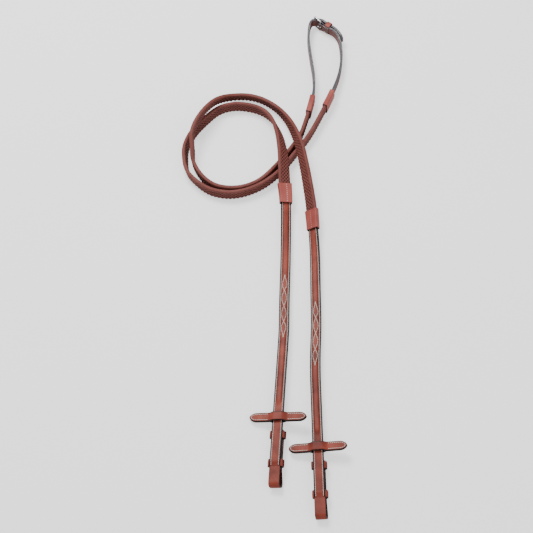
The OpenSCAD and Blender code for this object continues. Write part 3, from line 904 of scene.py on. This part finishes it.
# --- Sleeves: join sleeves at the rein's end of the rubber, grip sleeves at the hand's end ---
LIP = np.array([0, 0.25, 0.7, 1.6])  # rings near a sleeve's rounded mouths
SLEEVE_HALF_H = 4.4
SLEEVE_W = 19.6                 # width at the leather's side
SLEEVE_FLARE = 2.8              # how much wider it is at the rubber's side
SLEEVE_CORNER = 2.0
SLEEVE_CUTS = {"across": 30, "side": 4, "arc": 5}
SLEEVE_LAP = 0.35               # step where the sleeve's edge lies on itself
JOIN_TOP = (5.4, 4.6)           # height of a join sleeve over the leather and the rubber
SEAM_AT = {"join": {"left": 0.4, "right": -0.9}, "grip": {"left": 0.8, "right": 0.8}}
FIT = 0.2                       # room round what is inside a sleeve


def sleeve_top(side, where, x, v):
    """Height of a sleeve's outer face; x runs from 0 at the leather to 1 at the rubber."""
    high = JOIN_TOP[0] + (JOIN_TOP[1] - JOIN_TOP[0]) * x if where == "join" else SLEEVE_HALF_H
    past_seam = v - SEAM_AT[where][side]
    lap = SLEEVE_LAP * ease((past_seam + 0.3) / 0.6)
    return high - SLEEVE_LAP + lap - 0.25 * dip(past_seam, 0, 0.45)


def sleeve_outside(side, where, x, drawn_in):
    """Outline of a sleeve's outside, drawn in at its rounded mouths."""
    width = SLEEVE_W + SLEEVE_FLARE * x - 0.35 * math.sin(math.pi * x) - 2 * drawn_in
    high = SLEEVE_HALF_H - drawn_in
    v, h = outline(width, -high, high, SLEEVE_CORNER, **SLEEVE_CUTS)
    lift = sleeve_top(side, where, x, v) - SLEEVE_HALF_H
    return v, h + np.clip(h / SLEEVE_HALF_H, 0, 1) * lift * (h > high - SLEEVE_CORNER)


def sleeve_inside(where, over_rubber):
    """Outline of a sleeve's inside, round the rubber, the rein or the hand strap."""
    if over_rubber:
        width, low, high = GRIP_W, -GRIP_T / 2, GRIP_T / 2
    elif where == "join":
        width, low, high = REIN_W, -PLY, PLY + RISE
    else:
        width, low, high = REIN_W, -STRAP_T / 2, STRAP_T / 2
    return outline(width + 2 * FIT, low - FIT, high + FIT, 0.5, **SLEEVE_CUTS)


def make_sleeve(side, where):
    """A leather sleeve over one end of the rubber, with its stitched seam."""
    rein = REINS[side]
    middle = JOIN_AT if where == "join" else GRIP_END_AT[side]
    start, end = middle - SLEEVE_L / 2, middle + SLEEVE_L / 2
    d = np.concatenate([start + LIP, np.linspace(start + 3, end - 3, 18), end - LIP[::-1]])
    x = (d - start) / SLEEVE_L
    if where == "grip":
        x = 1 - x
    from_mouth = np.minimum(d - start, end - d)
    drawn_in = 0.55 * (1 - np.sqrt(1 - (1 - np.clip(from_mouth / 0.7, 0, 1)) ** 2))
    outer = []
    inner = []
    for k, at in enumerate(d):
        over_rubber = at > middle if where == "join" else at < middle
        v, h = sleeve_outside(side, where, x[k], drawn_in[k])
        outer.append(rein.place([at], v[None], h[None])[0])
        v, h = sleeve_inside(where, over_rubber)
        inner.append(rein.place([at], v[None], h[None])[0])
    mouths = np.repeat(1 - 0.999 * np.minimum(1, from_mouth), len(outer[0]))
    shade = np.concatenate([mouths, np.ones_like(mouths)])
    node = f"{side}_{where}_sleeve"
    loft(f"{node}_leather", outer + inner[::-1], closed=True, material=SLEEVE, slot="sleeve_leather",
         nodes=[node], shade=shade)
    stitch_sleeve(side, where, start, end)


def stitch_sleeve(side, where, start, end):
    """The row of stitches beside a sleeve's seam."""
    rein = REINS[side]
    row = np.arange(start + 1.5, end - 1.4, 1.0)
    v = np.full(len(row), SEAM_AT[where][side] + 1.1)
    h = sleeve_top(side, where, (row - start) / SLEEVE_L, v)
    line = (rein.place(row, v, h), rein.frames(row)[3])
    stitch_piece(f"{side}_{where}_sleeve_stitching", [line], pitch=3.2, length=1.7, radius=0.34,
                 material=SLEEVE_THREAD if side == "right" else THREAD)


# --- Hand straps ---
SKIVED_T = 1.8                  # the left strap's end is thinned to lie in the chape


def strap_rings(rein, d, width, thick):
    """Rings and dye of a plain strap, with a dented edge and a crease beside it."""
    rings = []
    shade = []
    for at, w, t in zip(d, width, thick):
        v, h = outline(w, -t / 2, t / 2, min(0.6, t * 0.4), across=22, side=8)
        v = v - np.sign(v) * 0.22 * np.exp(-(h / 0.3) ** 2) * (np.abs(v) > w / 2 - 0.3)
        h = h - np.sign(h) * 0.15 * dip(v, w / 2 - 1.8, 0.4)
        rings.append(rein.place([at], v[None], h[None])[0])
        shade.append(dye_and_shade(v, w / 2, 0.8))
    return np.array(rings), np.array(shade)


def make_left_hand_strap():
    """The left hand strap, whose thinned end is held in the chape."""
    rein = REINS["left"]
    end = rein.length
    bare = end - TAIL_LAP
    plain = np.arange(GRIP_END_AT["left"] + BUTT, bare - 1, 2)
    step = [bare - 0.6, bare, bare + 0.5]
    d = np.concatenate([plain, step, np.linspace(bare + 1.5, end, 6)])
    thick = np.where(d <= bare, STRAP_T, SKIVED_T)
    rings, shade = strap_rings(rein, d, np.full(len(d), float(REIN_W)), thick)
    loft("left_hand_strap_leather", rings, material=STRAP, slot="hand_leather",
         nodes=["left_hand_strap"], shade=shade)


def make_right_hand_strap():
    """The right hand strap, with its point, its punched holes and the tongue's slot."""
    rein = REINS["right"]
    end = rein.length
    tip = TIP_L * (1 - np.cos(np.linspace(math.pi / 2, 0.04, 12)))
    d = np.concatenate([np.arange(GRIP_END_AT["right"] + BUTT, end - TIP_L, 1.6), end - tip])
    left = np.clip((end - d) / TIP_L, 0, 1)
    width = REIN_W * (0.12 + 0.88 * np.sqrt(1 - (1 - left) ** 2) ** 0.85)
    thick = STRAP_T * (0.75 + 0.25 * ease((end - d) / 1.5))
    rings, shade = strap_rings(rein, d, width, thick)
    strap = loft("right_hand_strap_leather", rings, material=STRAP, slot="hand_leather",
                 nodes=["right_hand_strap"], shade=shade)
    for hole in HOLES:
        cut_out(strap, prism(rein.block(end - hole), arc_points(0, 0, HOLE_R, 0, 345, 24), -5, 5))
    slot = [(0.5, 0.6), (18.5, 0.6), (18.5, 6), (0.5, 6)]
    cut_out(strap, prism(at_buckle(FRAME_TURN, -1), slot, -2, 2))


# --- Buckle ---
def at_buckle(turn, flip=1):
    """A function that places (x, y, z) points about the heel bar, y mirrored when flip is -1."""
    a = math.radians(turn)
    axes = np.array([(math.cos(a), math.sin(a), 0),
                     (-flip * math.sin(a), flip * math.cos(a), 0),
                     (0, 0, 1)])
    origin = np.array([HEEL_AT[0], HEEL_AT[1], BUCKLE_Z])
    return lambda points: origin + np.asarray(points, float) @ axes


def tube(path, radius, cuts=16):
    """Closed rings round a closed path in the local x-z plane."""
    tangent = unit(np.roll(path, -1, 0) - np.roll(path, 1, 0))
    side = np.array([0, 1, 0])
    other = np.cross(tangent, side)
    turn = np.linspace(0, 2 * math.pi, cuts, endpoint=False)
    ring = np.cos(turn)[None, :, None] * side + np.sin(turn)[None, :, None] * other[:, None, :]
    return path[:, None, :] + ring * radius[:, None, None]


def frame_path():
    """The frame's middle line: four rounded corners, joined by straight stretches."""
    half = FRAME_H / 2
    corners = [(0, -half, 1.2, 180), (FRAME_L, -half, 3.2, 270), (FRAME_L, half, 3.2, 0),
               (0, half, 1.2, 90)]
    arcs = []
    for x, z, r, start in corners:
        cx = x + r if x == 0 else x - r
        cz = z + r if z < 0 else z - r
        arcs.append([(px, 0, pz) for px, pz in arc_points(cx, cz, r, start, start + 90, 9)])
    path = []
    for k, arc in enumerate(arcs):
        here, there = np.array(arc[-1]), np.array(arcs[(k + 1) % len(arcs)][0])
        path += arc + [here + (there - here) * t for t in np.linspace(0, 1, 10)[1:-1]]
    return np.array(path)


def make_buckle_frame():
    """The round wire frame, a little thicker at its heel bar."""
    path = frame_path()
    radius = WIRE_R + (HEEL_R - WIRE_R) * ease((3 - path[:, 0]) / 3)
    place = at_buckle(FRAME_TURN, -1)
    loft("buckle_frame_polished", place(tube(path, radius)), closed=True, material=STEEL, slot="steel",
         nodes=["buckle_frame"], sharp=70)


def make_tongue():
    """A flat prong wrapped round the heel bar, lying on the front bar."""
    wrap = arc_points(0, 0, 2.5, -20, -258, 18)
    prong = [(1.4, 2.45), (4, 2.3), (8, 2.35), (12, 2.6), (14.5, 2.75), (16, 2.5), (17, 2.0),
             (17.4, 1.75)]
    path = np.array([(x, y, 0) for x, y in smooth_path(wrap + prong, 3)])
    share = np.clip(path[:, 0] / prong[-1][0], 0, 1) * (np.arange(len(path)) > len(wrap) * 3)
    width = 3.0 - 1.0 * share ** 2
    thick = 1.15 + 0.5 * ease(share * 3) - 0.7 * ease((share - 0.88) / 0.12)
    place = at_buckle(FRAME_TURN, -1)
    rings = ribbon(path, (0, 0, 1), width, thick, 0.5, cuts=6)[0]
    loft("buckle_tongue_polished", place(rings), material=STEEL, slot="steel", nodes=["buckle_tongue"],
         body="tongue")


def make_chape():
    """Thin leather folded round the heel bar and sewn through the left strap's end."""
    place = at_buckle(CHAPE_TURN)
    wrap = arc_points(0, 0, 2.65, 60, 300, 17)
    leg = [(x, CHAPE_MID) for x in (CHAPE_L - 0.3, 14, 10, 6)] + [(3.6, 1.9)]
    back = [(x, -y) for x, y in leg[::-1]]
    path = np.array([(x, y, 0) for x, y in smooth_path(leg + wrap + back, 3)])
    rings, shade = ribbon(path, (0, 0, 1), REIN_W - 0.4, CHAPE_T, 0.4, crease=0.1, cuts=22)
    chape = loft("buckle_chape_leather", place(rings), material=STRAP, slot="hand_leather",
                 nodes=["buckle_chape"], shade=shade)
    cut_out(chape, prism(place, [(-6, -6), (4.5, -6), (4.5, 6), (-6, 6)], -2, 2))
    x = np.linspace(5.5, 17, 14)
    lines = []
    for face in (-1, 1):
        for z in (-5.9, 5.9):
            lines.append(flat_seam(place, x, face * (CHAPE_MID + CHAPE_T / 2 - 0.05), z, (0, face, 0)))
    stitch_piece("buckle_chape_stitching", lines, slot="hand_leather", radius=0.32, pitch=2.4,
                 length=1.8)


def make_buckle_keeper():
    """A leather loop over the point strap, sewn to both edges of the chape."""
    place = at_buckle(CHAPE_TURN)
    half = [(-0.8, -8.2), (0.6, -8.9), (2.5, -9.2), (5, -9.3), (7.3, -9.2), (8.7, -8.4), (9.25, -6.8),
            (9.3, -4), (9.35, 0)]
    band = half + [(y, -z) for y, z in half[-2::-1]]
    path = np.array([(13, y, z) for y, z in smooth_path(band, 4)])
    rings, shade = ribbon(path, (1, 0, 0), 9, 1.6, 0.5, crown=0.15, cuts=12)
    loft("buckle_keeper_leather", place(rings), material=SLEEVE, slot="hand_leather",
         nodes=["buckle_keeper"], shade=shade)


# --- Everything ---
for side in SIDES:
    make_face(side)
    make_lining(side)
    make_rein_stitching(side)
    make_billet(side)
    make_hook_stud(side)
    for which in KEEPER_AT:
        make_keeper(side, which)
    make_stop(side)
    for where in ("join", "grip"):
        make_sleeve(side, where)
make_left_hand_strap()
make_right_hand_strap()
make_buckle_frame()
make_tongue()
make_chape()
make_buckle_keeper()

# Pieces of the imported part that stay, all of them inside the leather or the rubber
KEPT = {"rein_padding": FILLER, "grip_core": WEBBING, "stud_washer": STEEL}
for side in SIDES:
    for piece, material in KEPT.items():
        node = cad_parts[f"{side}_{piece}"]
        if not node.material_slots:
            node.data.materials.append(material)
        for entry in node.material_slots:
            entry.link = "OBJECT"
            entry.material = material


# --- Floor ---
FLOOR_GLOW = 0.9                # makes the floor near white in the picture and lights nothing else


def make_floor():
    """A pale studio floor."""
    material, tree, shader, coords = start_material("pale_floor")
    tone = noise(tree, coords, 3, 2)
    seen = add(tree, "ShaderNodeLightPath").outputs["Is Camera Ray"]
    feed(tree, shader, {"Base Color": mix_colour(tree, tone, srgb("FBFBFB"), srgb("F6F6F6")),
                        "Roughness": 0.9,
                        "Specular IOR Level": 0.1,
                        "Emission Color": (1, 1, 1, 1),
                        "Emission Strength": remap(tree, seen, 0, 1, 0, FLOOR_GLOW)})
    reach = 6
    corners = [(-reach, -reach, 0), (reach, -reach, 0), (reach, reach, 0), (-reach, reach, 0)]
    mesh = bpy.data.meshes.new("floor")
    mesh.from_pydata(corners, [], [(0, 1, 2, 3)])
    floor = new_object("floor", mesh)
    mesh.materials.append(material)


make_floor()
